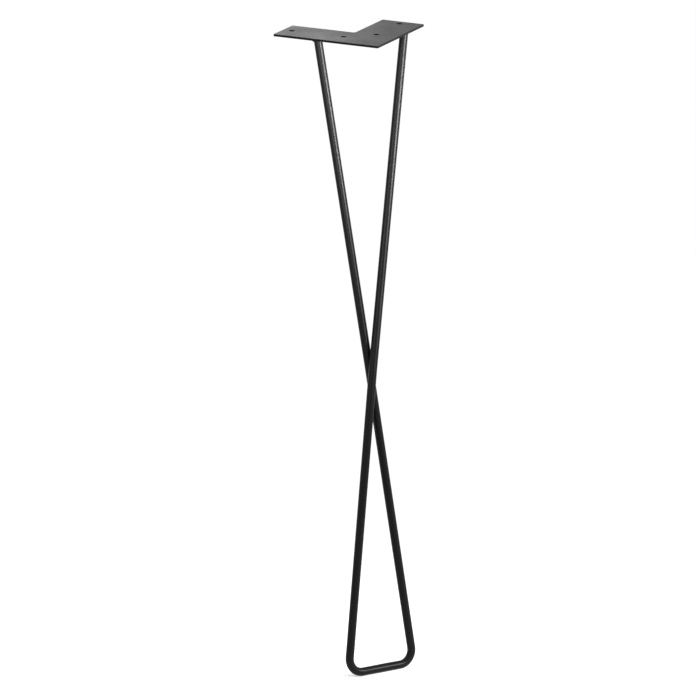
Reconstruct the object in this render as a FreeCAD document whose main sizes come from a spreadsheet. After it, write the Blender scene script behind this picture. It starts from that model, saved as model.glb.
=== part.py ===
import FreeCAD, Part

# Hairpin table leg with crossed arms.
#
# A flat L-shaped steel plate is screwed up under the corner of a table top. One round steel rod
# is bent twice to make a short foot bar with two long arms. The arms rise from the foot bar, pass
# each other on the way up, and are welded under the two arms of the plate, at its outer edges.
#
# Frame: the origin lies on the plate's top face, where the centre lines of the plate's two arms
# meet. +Z points up. The plate's left arm runs along -X and its right arm along +Y, so its outer
# corner is at +X, -Y. The foot bar lies on the floor outside that corner.

import math
import os

import Sketcher
from FreeCAD import Placement, Rotation, Vector

doc = FreeCAD.newDocument("hairpin_table_leg")


# Driving dimensions, in millimetres and degrees. Each can be changed by itself.

DRIVING_DIMENSIONS = (
    ("total_height", 710.0, "plate's top face to the floor"),
    ("plate_arm_length", 127.0, "outer corner to the end of either arm"),
    ("plate_arm_width", 51.0, "width of either arm"),
    ("plate_thickness", 2.5, "flat steel"),
    ("plate_corner_radius", 1.5, "outer corners of the outline"),
    ("plate_notch_radius", 3.0, "inside corner of the outline"),
    ("plate_edge_round", 0.4, "long edges, rounded under the coating"),
    ("hole_diameter", 6.5, "screw holes"),
    ("hole_spacing", 63.0, "between the two holes of one arm"),
    ("hole_end_distance", 11.0, "arm end to the nearer hole"),
    ("rod_diameter", 9.5, "round bar"),
    ("rod_edge_margin", 0.25, "rod's surface to the plate's outer edge"),
    ("left_rod_distance", 74.5, "outer corner to the rod, along the left arm"),
    ("right_rod_distance", 82.0, "outer corner to the rod, along the right arm"),
    ("foot_reach", 46.5, "plate's outer corner to the foot bar, along the diagonal"),
    ("foot_bar_length", 86.5, "between the corners where the bar's line meets the arms"),
    ("foot_bar_turn", 11.5, "foot bar about the vertical, right end away from the outside"),
    ("foot_bend_radius", 16.0, "centre line of the two foot bends"),
    ("crossing_height", 342.0, "floor to the point where the arms pass"),
    ("crossing_offset", 0.7, "how far the arms pass to the left of where they would if straight"),
    ("crossing_clearance", 0.3, "between the two arms where they pass"),
    ("crossing_bend_radius", 600.0, "centre line of the slight set at the crossing"),
    ("weld_leg", 2.0, "height and width of each weld"),
    ("weld_sweep", 190.0, "how far each weld goes round the rod, on its inner side"),
)

sheet = doc.addObject("Spreadsheet::Sheet", "Dimensions")
for row, (alias, number, meaning) in enumerate(DRIVING_DIMENSIONS, start=1):
    sheet.set("A%d" % row, alias)
    sheet.set("B%d" % row, str(number))
    sheet.set("C%d" % row, meaning)
    sheet.setAlias("B%d" % row, alias)
doc.recompute()


def size(alias):
    """The number in a named cell."""
    return float(sheet.get(alias))


def bind(target, **expressions):
    """Tie properties of an object to named cells, written without the sheet's name in front."""
    for prop, expression in expressions.items():
        for alias, _, _ in DRIVING_DIMENSIONS:
            expression = expression.replace(alias, "Dimensions." + alias)
        target.setExpression(prop, expression)


def bind_constraints(sketch, **expressions):
    """Tie a sketch's named constraints to named cells."""
    bind(sketch, **{"Constraints." + name: text for name, text in expressions.items()})


def new_body(label):
    body = doc.addObject("PartDesign::Body", label)
    body.Label = label
    body.Placement = Placement()
    return body


def sketch_on_top_plane(body, name):
    """An empty sketch on the body's horizontal plane through the origin."""
    plane = [f for f in body.Origin.OriginFeatures if f.Role == "XY_Plane"][0]
    sketch = body.newObject("Sketcher::SketchObject", name)
    sketch.AttachmentSupport = [(plane, "")]
    sketch.MapMode = "FlatFace"
    return sketch


def edges_where(shape, wanted):
    """Names of a shape's edges for which the test holds."""
    return ["Edge%d" % i for i, edge in enumerate(shape.Edges, start=1) if wanted(edge)]


# Mounting plate: an L of flat steel with two plain screw holes on the centre line of each arm.

plate = new_body("mounting_plate")

outline = sketch_on_top_plane(plate, "PlateOutline")
reach = size("plate_arm_length") - size("plate_arm_width") / 2
half_width = size("plate_arm_width") / 2
corners = (
    Vector(-reach, -half_width),
    Vector(half_width, -half_width),
    Vector(half_width, reach),
    Vector(-half_width, reach),
    Vector(-half_width, half_width),
    Vector(-reach, half_width),
)
for start, end in zip(corners, corners[1:] + corners[:1]):
    outline.addGeometry(Part.LineSegment(start, end), False)
FRONT, RIGHT, RIGHT_END, RIGHT_INNER, LEFT_INNER, LEFT_END = range(6)
ORIGIN_POINT = (-1, 1)
for side in range(6):
    outline.addConstraint(Sketcher.Constraint("Coincident", side, 2, (side + 1) % 6, 1))
for side in (FRONT, RIGHT_END, LEFT_INNER):
    outline.addConstraint(Sketcher.Constraint("Horizontal", side))
for side in (RIGHT, RIGHT_INNER, LEFT_END):
    outline.addConstraint(Sketcher.Constraint("Vertical", side))


def named_distance(sketch, name, kind, *references):
    index = sketch.addConstraint(Sketcher.Constraint(kind, *references))
    sketch.renameConstraint(index, name)


named_distance(outline, "corner_x", "DistanceX", *ORIGIN_POINT, FRONT, 2, half_width)
named_distance(outline, "corner_y", "DistanceY", FRONT, 2, *ORIGIN_POINT, half_width)
named_distance(outline, "left_length", "DistanceX", FRONT, 1, FRONT, 2, reach + half_width)
named_distance(outline, "right_length", "DistanceY", RIGHT, 1, RIGHT, 2, reach + half_width)
named_distance(outline, "left_width", "DistanceY", LEFT_END, 2, LEFT_END, 1, 2 * half_width)
named_distance(outline, "right_width", "DistanceX", RIGHT_END, 2, RIGHT_END, 1, 2 * half_width)
bind_constraints(
    outline,
    corner_x="plate_arm_width / 2",
    corner_y="plate_arm_width / 2",
    left_length="plate_arm_length",
    right_length="plate_arm_length",
    left_width="plate_arm_width",
    right_width="plate_arm_width",
)

blank = plate.newObject("PartDesign::Pad", "PlateBlank")
blank.Profile = outline
blank.Reversed = True
bind(blank, Length="plate_thickness")
doc.recompute()


def is_upright(edge):
    return abs(edge.tangentAt(edge.FirstParameter).z) > 0.99


def in_the_notch(edge):
    corner = edge.CenterOfMass
    return corner.x < 0 < corner.y and 2 * max(-corner.x, corner.y) < reach + half_width


outer_corners = plate.newObject("PartDesign::Fillet", "OuterCorners")
outer_corners.Base = (
    blank,
    edges_where(blank.Shape, lambda edge: is_upright(edge) and not in_the_notch(edge)),
)
bind(outer_corners, Radius="plate_corner_radius")
doc.recompute()

notch_corner = plate.newObject("PartDesign::Fillet", "NotchCorner")
notch_corner.Base = (
    outer_corners,
    edges_where(
        outer_corners.Shape,
        lambda edge: isinstance(edge.Curve, Part.Line) and is_upright(edge) and in_the_notch(edge),
    ),
)
bind(notch_corner, Radius="plate_notch_radius")
doc.recompute()

rounded_edges = plate.newObject("PartDesign::Fillet", "RoundedEdges")
rounded_edges.Base = (
    notch_corner,
    edges_where(notch_corner.Shape, lambda edge: not is_upright(edge)),
)
bind(rounded_edges, Radius="plate_edge_round")
doc.recompute()

hole_pattern = sketch_on_top_plane(plate, "HolePattern")
far_hole = reach - size("hole_end_distance")
near_hole = far_hole - size("hole_spacing")
for centre in (
    Vector(-far_hole, 0),
    Vector(-near_hole, 0),
    Vector(0, far_hole),
    Vector(0, near_hole),
):
    hole = Part.Circle(centre, Vector(0, 0, 1), size("hole_diameter") / 2)
    hole_pattern.addGeometry(hole, False)
LEFT_FAR, LEFT_NEAR, RIGHT_FAR, RIGHT_NEAR = range(4)


def centre_of(circle):
    """A circle's centre, as a sketch's constraints refer to it."""
    return circle, 3


for hole in (LEFT_FAR, LEFT_NEAR):
    hole_pattern.addConstraint(Sketcher.Constraint("Horizontal", *centre_of(hole), *ORIGIN_POINT))
for hole in (RIGHT_FAR, RIGHT_NEAR):
    hole_pattern.addConstraint(Sketcher.Constraint("Vertical", *centre_of(hole), *ORIGIN_POINT))
for hole in (LEFT_NEAR, RIGHT_FAR, RIGHT_NEAR):
    hole_pattern.addConstraint(Sketcher.Constraint("Equal", LEFT_FAR, hole))
named_distance(hole_pattern, "diameter", "Diameter", LEFT_FAR, size("hole_diameter"))
named_distance(hole_pattern, "left_far", "DistanceX", *centre_of(LEFT_FAR), *ORIGIN_POINT, far_hole)
named_distance(
    hole_pattern, "left_pair", "DistanceX", *centre_of(LEFT_FAR), *centre_of(LEFT_NEAR),
    far_hole - near_hole,
)
named_distance(hole_pattern, "right_far", "DistanceY", *ORIGIN_POINT, *centre_of(RIGHT_FAR), far_hole)
named_distance(
    hole_pattern, "right_pair", "DistanceY", *centre_of(RIGHT_NEAR), *centre_of(RIGHT_FAR),
    far_hole - near_hole,
)
bind_constraints(
    hole_pattern,
    diameter="hole_diameter",
    left_far="plate_arm_length - plate_arm_width / 2 - hole_end_distance",
    left_pair="hole_spacing",
    right_far="plate_arm_length - plate_arm_width / 2 - hole_end_distance",
    right_pair="hole_spacing",
)

screw_holes = plate.newObject("PartDesign::Pocket", "ScrewHoles")
screw_holes.Profile = hole_pattern
screw_holes.Type = "ThroughAll"
doc.recompute()
one_hole = math.pi * size("hole_diameter") ** 2 / 4 * size("plate_thickness")
assert abs(rounded_edges.Shape.Volume - screw_holes.Shape.Volume - 4 * one_hole) < 0.01 * one_hole


# Bent rod: its centre line runs from the left end of the plate down to the right end of the foot
# bar, along the bar, and back up to the right end of the plate. The left arm of the rod passes
# behind the right one, away from the plate's outer corner.

UP = Vector(0, 0, 1)
INWARD = Vector(-1, 1, 0).normalize()
ACROSS = Vector(1, 1, 0).normalize()

rod_radius = size("rod_diameter") / 2
floor = -size("total_height")
underside = -size("plate_thickness")
outer_corner = Vector(half_width, -half_width, 0)
inset = rod_radius + size("rod_edge_margin")

left_top = outer_corner + Vector(-size("left_rod_distance"), inset, underside)
right_top = outer_corner + Vector(-inset, size("right_rod_distance"), underside)

bar_centre = outer_corner - INWARD * size("foot_reach") + UP * (floor + rod_radius)
bar_turn = math.radians(size("foot_bar_turn"))
bar_direction = ACROSS * math.cos(bar_turn) + INWARD * math.sin(bar_turn)
bar_right = bar_centre + bar_direction * (size("foot_bar_length") / 2)
bar_left = bar_centre - bar_direction * (size("foot_bar_length") / 2)


def point_at_height(start, end, height):
    """The point at a height on the straight line between two points."""
    share = (height - start.z) / (end.z - start.z)
    return start + (end - start) * share


# The arms pass side by side, one rod diameter and the clearance apart. The middle of the pass lies
# between where their straight lines run at the crossing's height, moved a little to the left.
crossing_level = floor + size("crossing_height")
crossing = (
    point_at_height(left_top, bar_right, crossing_level)
    + point_at_height(right_top, bar_left, crossing_level)
) * 0.5
side_by_side = (left_top - bar_right).cross(right_top - bar_left).normalize()
if side_by_side.dot(INWARD) < 0:
    side_by_side = side_by_side * -1
half_pass = side_by_side * ((size("rod_diameter") + size("crossing_clearance")) / 2)
crossing += UP.cross(side_by_side).normalize() * size("crossing_offset")


def bent_line(points, radii):
    """Straight runs from point to point, joined by tangent arcs of the given radii."""
    edges = []
    run_start = points[0]
    for before, corner, after, radius in zip(points, points[1:], points[2:], radii):
        back = (before - corner).normalize()
        ahead = (after - corner).normalize()
        half_turn = (math.pi - back.getAngle(ahead)) / 2
        setback = radius * math.tan(half_turn)
        bulge = radius / math.cos(half_turn) - radius
        arc_start = corner + back * setback
        arc_end = corner + ahead * setback
        arc_middle = corner + (back + ahead).normalize() * bulge
        edges.append(Part.LineSegment(run_start, arc_start).toShape())
        edges.append(Part.Arc(arc_start, arc_middle, arc_end).toShape())
        run_start = arc_end
    edges.append(Part.LineSegment(run_start, points[-1]).toShape())
    return Part.Wire(edges)


# Both ends start above the underside of the plate and are then cut off flush with it.
overrun = size("rod_diameter")
left_pass = crossing + half_pass
right_pass = crossing - half_pass
left_axis = (left_top - left_pass).normalize()
right_axis = (right_top - right_pass).normalize()

centre_line = doc.addObject("Part::Feature", "RodCentreLine")
centre_line.Shape = bent_line(
    (
        left_top + left_axis * overrun,
        left_pass,
        bar_right,
        bar_left,
        right_pass,
        right_top + right_axis * overrun,
    ),
    (
        size("crossing_bend_radius"),
        size("foot_bend_radius"),
        size("foot_bend_radius"),
        size("crossing_bend_radius"),
    ),
)

rod = new_body("bent_rod")

path = rod.newObject("PartDesign::SubShapeBinder", "RodPath")
path.Support = [(centre_line, ("",))]
doc.recompute()

section = rod.newObject("Sketcher::SketchObject", "RodSection")
section.AttachmentSupport = [(path, "Edge1")]
section.MapMode = "NormalToEdge"
section.MapPathParameter = 0
section.addGeometry(Part.Circle(Vector(), UP, rod_radius), False)
section.addConstraint(Sketcher.Constraint("Coincident", *centre_of(0), *ORIGIN_POINT))
named_distance(section, "diameter", "Diameter", 0, 2 * rod_radius)
bind_constraints(section, diameter="rod_diameter")

bar = rod.newObject("PartDesign::AdditivePipe", "BentBar")
bar.Profile = (section, [""])
bar.Spine = (path, ["Edge%d" % i for i in range(1, len(path.Shape.Edges) + 1)])
doc.recompute()
bar_volume = math.pi * rod_radius**2 * path.Shape.Length
assert abs(bar.Shape.Volume - bar_volume) < 1e-4 * bar_volume

trim_area = sketch_on_top_plane(rod, "EndTrimArea")
side = 3 * size("plate_arm_length")
trim_area.addGeometry(Part.Circle(Vector(), UP, side / 2), False)
trim_area.addConstraint(Sketcher.Constraint("Coincident", *centre_of(0), *ORIGIN_POINT))
named_distance(trim_area, "diameter", "Diameter", 0, side)
bind_constraints(trim_area, diameter="3 * plate_arm_length")
trim_area.AttachmentOffset = Placement(Vector(0, 0, underside), Rotation())
bind(trim_area, **{"AttachmentOffset.Base.z": "-plate_thickness"})

end_trim = rod.newObject("PartDesign::Pocket", "EndTrim")
end_trim.Profile = trim_area
end_trim.Reversed = True
bind(end_trim, Length="2 * rod_diameter")
doc.recompute()
assert end_trim.Shape.Volume < bar.Shape.Volume
assert abs(end_trim.Shape.optimalBoundingBox().ZMax - underside) < 1e-3


# Weld beads: one fillet in the inner corner between each rod end and the plate. Each is a piece of
# a cone round the rod, less what lies in the rod and in the plate.

plate_space = doc.addObject("Part::Box", "PlateSpace")
bind(
    plate_space,
    Length="3 * plate_arm_length",
    Width="3 * plate_arm_length",
    Height="plate_thickness + rod_diameter",
)
bind(
    plate_space,
    **{
        "Placement.Base.x": "-1.5 * plate_arm_length",
        "Placement.Base.y": "-1.5 * plate_arm_length",
        "Placement.Base.z": "-plate_thickness",
    }
)


def weld_bead(label, rod_end, axis, towards_middle):
    """A bead under the plate, round the side of the rod that faces the middle of the arm."""
    x_axis = (towards_middle - axis * towards_middle.dot(axis)).normalize()
    seat = Placement(rod_end, Rotation(x_axis, axis.cross(x_axis), axis, "ZXY"))
    start = Rotation(UP, -size("weld_sweep") / 2)

    fillet = doc.addObject("Part::Cone", label + "_fillet")
    bind(
        fillet,
        Radius1="rod_diameter / 2",
        Radius2="rod_diameter + weld_leg",
        Height="weld_leg + rod_diameter / 2",
        Angle="weld_sweep",
    )
    fillet.Placement = seat * Placement(Vector(0, 0, -size("weld_leg")), start)

    rod_space = doc.addObject("Part::Cylinder", label + "_rod_space")
    bind(rod_space, Radius="rod_diameter / 2", Height="2 * (weld_leg + rod_diameter)")
    below = Vector(0, 0, -size("weld_leg") - size("rod_diameter"))
    rod_space.Placement = seat * Placement(below, Rotation())

    around_rod = doc.addObject("Part::Cut", label + "_around_rod")
    around_rod.Base = fillet
    around_rod.Tool = rod_space

    bead = doc.addObject("Part::Cut", label)
    bead.Label = label
    bead.Base = around_rod
    bead.Tool = plate_space
    return bead


left_bead = weld_bead("left_weld_bead", left_top, left_axis, Vector(0, 1, 0))
right_bead = weld_bead("right_weld_bead", right_top, right_axis, Vector(-1, 0, 0))
doc.recompute()


# Every feature must have built, and every piece must be one sound solid, before any is written.

for feature in doc.Objects:
    if "Invalid" in feature.State or "Error" in feature.State:
        raise RuntimeError("%s did not build" % feature.Name)

pieces = (plate, rod, left_bead, right_bead)
for piece in pieces:
    shape = piece.Shape
    if shape.isNull() or not shape.isValid() or len(shape.Solids) != 1:
        raise RuntimeError("%s is not one sound solid" % piece.Label)

os.makedirs("parts", exist_ok=True)
for piece in pieces:
    piece.Shape.exportStep(os.path.join("parts", piece.Label + ".step"))
    box = piece.Shape.optimalBoundingBox()
    print(
        "%-16s %10.1f mm3   x %7.2f %7.2f   y %7.2f %7.2f   z %8.2f %7.2f"
        % (piece.Label, piece.Shape.Volume, box.XMin, box.XMax, box.YMin, box.YMax, box.ZMin, box.ZMax)
    )
print("arms clear each other by %.3f mm at the crossing" % (
    2 * half_pass.Length - size("rod_diameter")
))
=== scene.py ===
import math

import bmesh
import bpy
from mathutils import Matrix, Vector


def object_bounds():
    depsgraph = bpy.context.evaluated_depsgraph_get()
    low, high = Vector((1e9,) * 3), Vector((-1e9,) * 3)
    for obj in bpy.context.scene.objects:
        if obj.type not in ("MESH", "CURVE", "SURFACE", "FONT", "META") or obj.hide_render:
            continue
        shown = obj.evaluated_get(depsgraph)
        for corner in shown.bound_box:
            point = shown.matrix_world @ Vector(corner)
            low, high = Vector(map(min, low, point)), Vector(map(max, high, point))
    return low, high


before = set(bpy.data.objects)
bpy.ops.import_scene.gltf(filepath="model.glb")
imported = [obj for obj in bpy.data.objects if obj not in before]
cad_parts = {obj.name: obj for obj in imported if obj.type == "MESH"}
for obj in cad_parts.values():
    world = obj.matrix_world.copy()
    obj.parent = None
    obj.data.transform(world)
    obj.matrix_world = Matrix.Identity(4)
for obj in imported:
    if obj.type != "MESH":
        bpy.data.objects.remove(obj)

# Hairpin table leg in a studio: one bent steel rod under an L-shaped corner plate, all in satin
# black powder coat. +Z is up, the plate's top face is at zero and the floor is 0.71 m below it.
# Lengths are in metres, powers in watts and angles in degrees.

cad_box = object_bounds()
FLOOR = cad_box[0][2]


# Powder coat: sprayed dry and melted on, so it has a fine orange peel, a faint unevenness of gloss
# where it lies thicker or thinner, and a few grains that didn't flow out.

PEEL_SCALE, PEEL_HEIGHT = 650.0, 0.00008
GRAIN_SCALE, GRAIN_HEIGHT = 2400.0, 0.00002
RIPPLE_SCALE = 450.0
THICK_SPOT_SCALE = 28.0
NOISE_LOW, NOISE_HIGH = 0.3, 0.7
GRAIN_TINT = 1.5


def powder_coat(name, colour, shine, roughness, thick_spots, ripples=0.0):
    """A satin coat. Shine is how strongly it reflects, thick_spots how far its roughness varies,
    and ripples the height of a weld's ripples under it."""
    coat = bpy.data.materials.new(name)
    coat.use_nodes = True
    nodes, links = coat.node_tree.nodes, coat.node_tree.links
    shader = nodes["Principled BSDF"]
    shader.inputs["Specular IOR Level"].default_value = shine
    place = nodes.new("ShaderNodeTexCoord")

    def noise(scale, detail):
        node = nodes.new("ShaderNodeTexNoise")
        node.inputs["Scale"].default_value = scale
        node.inputs["Detail"].default_value = detail
        links.new(place.outputs["Object"], node.inputs["Vector"])
        return node.outputs["Fac"]

    def spread(pattern, low, high):
        node = nodes.new("ShaderNodeMapRange")
        node.inputs["From Min"].default_value = NOISE_LOW
        node.inputs["From Max"].default_value = NOISE_HIGH
        node.inputs["To Min"].default_value = low
        node.inputs["To Max"].default_value = high
        links.new(pattern, node.inputs["Value"])
        return node.outputs["Result"]

    def relief(pattern, strength, height, under=None):
        node = nodes.new("ShaderNodeBump")
        node.inputs["Strength"].default_value = strength
        node.inputs["Distance"].default_value = height
        links.new(pattern, node.inputs["Height"])
        if under:
            links.new(under, node.inputs["Normal"])
        return node.outputs["Normal"]

    peel = noise(PEEL_SCALE, 2.0)
    thickness = noise(THICK_SPOT_SCALE, 3.0)
    grains = noise(GRAIN_SCALE, 1.0)

    rough = spread(thickness, roughness - thick_spots, roughness + thick_spots)
    links.new(rough, shader.inputs["Roughness"])

    tint = nodes.new("ShaderNodeMix")
    tint.data_type = "RGBA"
    tint.inputs["A"].default_value = (*colour, 1.0)
    tint.inputs["B"].default_value = (*(GRAIN_TINT * part for part in colour), 1.0)
    links.new(spread(grains, 0.0, 1.0), tint.inputs["Factor"])
    links.new(tint.outputs["Result"], shader.inputs["Base Color"])

    surface = relief(grains, 0.35, GRAIN_HEIGHT)
    surface = relief(peel, 0.5, PEEL_HEIGHT, surface)
    if ripples:
        surface = relief(noise(RIPPLE_SCALE, 1.0), 1.0, ripples, surface)
    links.new(surface, shader.inputs["Normal"])
    return coat


PLATE_BLACK = (0.006, 0.006, 0.0063)
ROD_BLACK = (0.004, 0.004, 0.0042)

plate_coat = powder_coat(
    "plate_powder_coat", PLATE_BLACK, shine=0.105, roughness=0.38, thick_spots=0.04
)
rod_coat = powder_coat("rod_powder_coat", ROD_BLACK, shine=0.10, roughness=0.33, thick_spots=0.04)
weld_coat = powder_coat(
    "weld_powder_coat", ROD_BLACK, shine=0.10, roughness=0.42, thick_spots=0.06, ripples=0.0002
)

FINISHES = {
    "mounting_plate": plate_coat,
    "bent_rod": rod_coat,
    "left_weld_bead": weld_coat,
    "right_weld_bead": weld_coat,
}
for node, coat in FINISHES.items():
    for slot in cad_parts[node].material_slots:
        slot.material = coat


# Studio: a pale floor, a white surround, and soft boxes round the leg and overhead. The ones that
# give the rod its highlights light it alone, so nothing shines up into the screw holes.

FLOOR_SIZE = 8.0
FLOOR_PALENESS = 0.9
AMBIENT = 0.75
WHITE = 1.0


def white_to_the_eye(nodes, links, low, high):
    """A number that is high for what the camera or a reflection sees, and low for other light."""
    path = nodes.new("ShaderNodeLightPath")
    seen = path.outputs["Is Camera Ray"]
    for ray in ("Is Glossy Ray", "Is Transmission Ray"):
        either = nodes.new("ShaderNodeMath")
        either.operation = "MAXIMUM"
        links.new(seen, either.inputs[0])
        links.new(path.outputs[ray], either.inputs[1])
        seen = either.outputs["Value"]
    level = nodes.new("ShaderNodeMapRange")
    level.inputs["To Min"].default_value = low
    level.inputs["To Max"].default_value = high
    links.new(seen, level.inputs["Value"])
    return level.outputs["Result"]


def pale_floor():
    """A matt floor that keeps the leg's shadow and is white to the eye away from it."""
    sheet = bmesh.new()
    bmesh.ops.create_grid(sheet, x_segments=1, y_segments=1, size=FLOOR_SIZE)
    bmesh.ops.translate(sheet, verts=sheet.verts, vec=(0.0, 0.0, FLOOR))
    mesh = bpy.data.meshes.new("floor")
    sheet.to_mesh(mesh)
    sheet.free()
    floor = bpy.data.objects.new("floor", mesh)
    bpy.context.scene.collection.objects.link(floor)

    paint = bpy.data.materials.new("floor_paint")
    paint.use_nodes = True
    nodes, links = paint.node_tree.nodes, paint.node_tree.links
    nodes.clear()
    matt = nodes.new("ShaderNodeBsdfDiffuse")
    matt.inputs["Color"].default_value = (FLOOR_PALENESS, FLOOR_PALENESS, FLOOR_PALENESS, 1.0)
    lift = nodes.new("ShaderNodeEmission")
    missing = white_to_the_eye(nodes, links, 0.0, WHITE - FLOOR_PALENESS * AMBIENT)
    links.new(missing, lift.inputs["Strength"])
    both = nodes.new("ShaderNodeAddShader")
    links.new(matt.outputs["BSDF"], both.inputs[0])
    links.new(lift.outputs["Emission"], both.inputs[1])
    output = nodes.new("ShaderNodeOutputMaterial")
    links.new(both.outputs["Shader"], output.inputs["Surface"])
    mesh.materials.append(paint)


def white_surround():
    world = bpy.data.worlds.new("surround")
    bpy.context.scene.world = world
    world.use_nodes = True
    nodes, links = world.node_tree.nodes, world.node_tree.links
    background = nodes["Background"]
    background.inputs["Color"].default_value = (WHITE, WHITE, WHITE, 1.0)
    strength = white_to_the_eye(nodes, links, AMBIENT, WHITE)
    links.new(strength, background.inputs["Strength"])


def soft_box(
    name, bearing, height, distance, width, tall, power, aim_height, beam=180.0, lights=()
):
    """A soft box at a bearing round the leg, from the front towards the right.

    It points at the given height on the upright line through the origin. Where nodes are named in
    lights, it lights those alone.
    """
    lamp = bpy.data.lights.new(name, "AREA")
    lamp.shape = "RECTANGLE"
    lamp.size = width
    lamp.size_y = tall
    lamp.energy = power
    lamp.spread = math.radians(beam)
    box = bpy.data.objects.new(name, lamp)
    bpy.context.scene.collection.objects.link(box)
    turn = math.radians(bearing)
    place = Vector((math.sin(turn) * distance, -math.cos(turn) * distance, height))
    facing = Vector((0.0, 0.0, aim_height)) - place
    aimed = facing.to_track_quat("-Z", "Y").to_matrix().to_4x4()
    box.matrix_world = Matrix.Translation(place) @ aimed
    box.visible_camera = False
    if lights:
        lit = bpy.data.collections.new(name + "_lights")
        for node in lights:
            lit.objects.link(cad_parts[node])
        box.light_linking.receiver_collection = lit


pale_floor()
white_surround()
soft_box(
    "side_box", bearing=78.0, height=-0.06, distance=0.55, width=0.26, tall=0.22, power=4.2,
    aim_height=0.15, beam=70.0, lights=("bent_rod",),
)
soft_box(
    "low_side_box", bearing=78.0, height=-0.19, distance=0.55, width=0.26, tall=0.34, power=1.2,
    aim_height=-0.04, beam=80.0, lights=("bent_rod",),
)
soft_box(
    "front_box", bearing=22.0, height=-0.20, distance=0.9, width=0.4, tall=0.35, power=0.75,
    aim_height=0.15, beam=50.0, lights=("bent_rod",),
)
soft_box(
    "left_box", bearing=-10.0, height=0.0, distance=0.9, width=0.5, tall=0.3, power=0.5,
    aim_height=-0.12, beam=60.0, lights=("bent_rod",),
)
soft_box(
    "foot_box", bearing=95.0, height=-0.28, distance=0.8, width=0.4, tall=0.2, power=0.62,
    aim_height=-0.72, beam=40.0,
)
soft_box(
    "back_box", bearing=215.0, height=0.22, distance=0.86, width=0.32, tall=0.3, power=0.44,
    aim_height=0.0,
)
soft_box(
    "top_box", bearing=24.0, height=1.2, distance=0.3, width=0.8, tall=0.8, power=3.0,
    aim_height=0.0,
)


# Camera: a long lens, a little to the right of the plate's outer corner and looking down on it.

FOCAL_LENGTH_IN_PIXELS = 5804.34
PICTURE_WIDTH_IN_PIXELS = 696
SENSOR_WIDTH_MM = 36.0
AZIMUTH, ELEVATION, ROLL = 24.08, 15.77, 1.02
AIM = Vector((-0.01293, -0.0055, -0.35418))
CAMERA_DISTANCE = 6.5
CLIP_END = 100.0


def place_camera():
    data = bpy.data.cameras.new("camera")
    data.sensor_width = SENSOR_WIDTH_MM
    data.lens = FOCAL_LENGTH_IN_PIXELS / PICTURE_WIDTH_IN_PIXELS * SENSOR_WIDTH_MM
    data.clip_end = CLIP_END
    camera = bpy.data.objects.new("camera", data)
    bpy.context.scene.collection.objects.link(camera)
    turn = (
        Matrix.Rotation(math.radians(AZIMUTH), 4, "Z")
        @ Matrix.Rotation(math.radians(90.0 - ELEVATION), 4, "X")
        @ Matrix.Rotation(math.radians(ROLL), 4, "Z")
    )
    away = turn @ Vector((0.0, 0.0, CAMERA_DISTANCE))
    camera.matrix_world = Matrix.Translation(AIM + away) @ turn
    bpy.context.scene.camera = camera


place_camera()
bpy.context.scene.view_settings.view_transform = "Standard"
